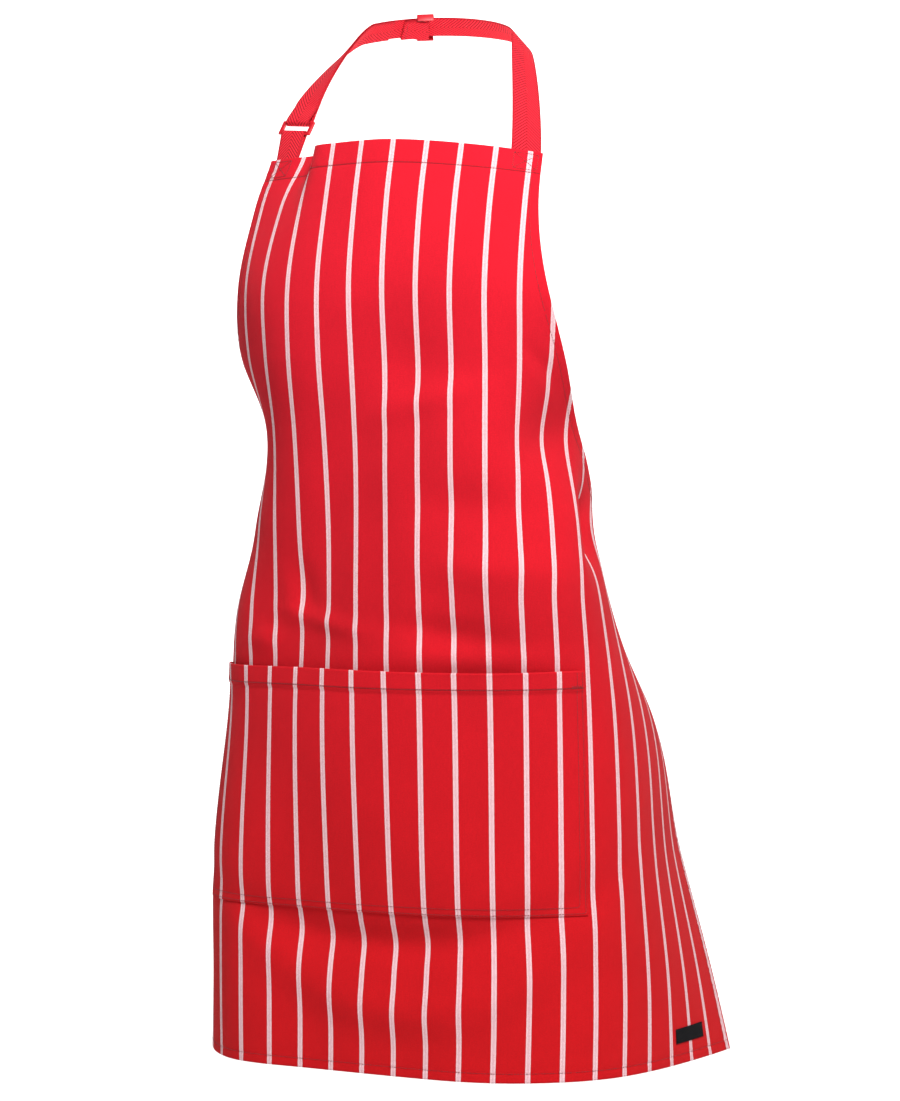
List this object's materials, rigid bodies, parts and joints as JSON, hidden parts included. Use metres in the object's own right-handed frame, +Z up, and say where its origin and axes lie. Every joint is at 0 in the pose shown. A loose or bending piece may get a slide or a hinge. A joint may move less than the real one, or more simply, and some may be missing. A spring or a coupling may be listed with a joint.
{
  "type": "butcher apron",
  "caption": "Striped bib apron shown as worn: bib, skirt wrapped round the body, wide front pocket, adjustable neck strap with ring and slider, waist ties in a bow.",
  "frame": {"origin": "the middle of the neck strap's inner face, where it rests on the nape of the neck", "axes": "+Z up, -Y to the wearer's front, +X to the wearer's left"},
  "size_m": [0.5206, 0.32, 1.086],
  "materials": {
    "cloth": "matt woven twill with narrow white stripes",
    "tape": "matt herringbone tape",
    "thread": "matt sewing thread",
    "hardware": "satin moulded plastic",
    "black_label": "matt woven ribbon",
    "white_label": "smooth satin ribbon"
  },
  "bodies": {
    "apron": {"armhole_hem_left": "cloth", "armhole_hem_right": "cloth", "bib_top_hem": "cloth", "body_panel": "cloth", "bottom_hem": "cloth", "care_label": "white_label", "neck_strap": "tape", "neck_strap_return": "tape", "pocket_bartack_left": "thread", "pocket_bartack_right": "thread", "pocket_mouth_hem": "cloth", "pocket_panel": "cloth", "ring_tab": "tape", "side_hem_left": "cloth", "side_hem_right": "cloth", "skirt_label": "black_label", "strap_box_stitch": "thread", "tab_box_stitch": "thread", "tie_box_stitch_left": "thread", "tie_box_stitch_right": "thread", "waist_bow_left": "tape", "waist_bow_right": "tape", "waist_knot": "tape", "waist_tail_left": "tape", "waist_tail_right": "tape", "waist_tie_left": "tape", "waist_tie_right": "tape"},
    "slider": {"strap_slider": "hardware", "strap_end_loop": "tape"},
    "ring": {"strap_ring": "hardware"}
  },
  "joints": [
    {"name": "slider_travel", "type": "hinge", "parent": "apron", "child": "slider", "pos_m": [-0.00507, -0.08775, -0.032], "axis": [0.1465, -0.3502, 0.9251], "range_deg": [-40, 7]},
    {"name": "ring_swing", "type": "hinge", "parent": "apron", "child": "ring", "pos_m": [-0.12811, -0.15612, -0.12514], "axis": [0.9852, -0.1311, -0.1103], "range_deg": [-4, 4]}
  ]
}
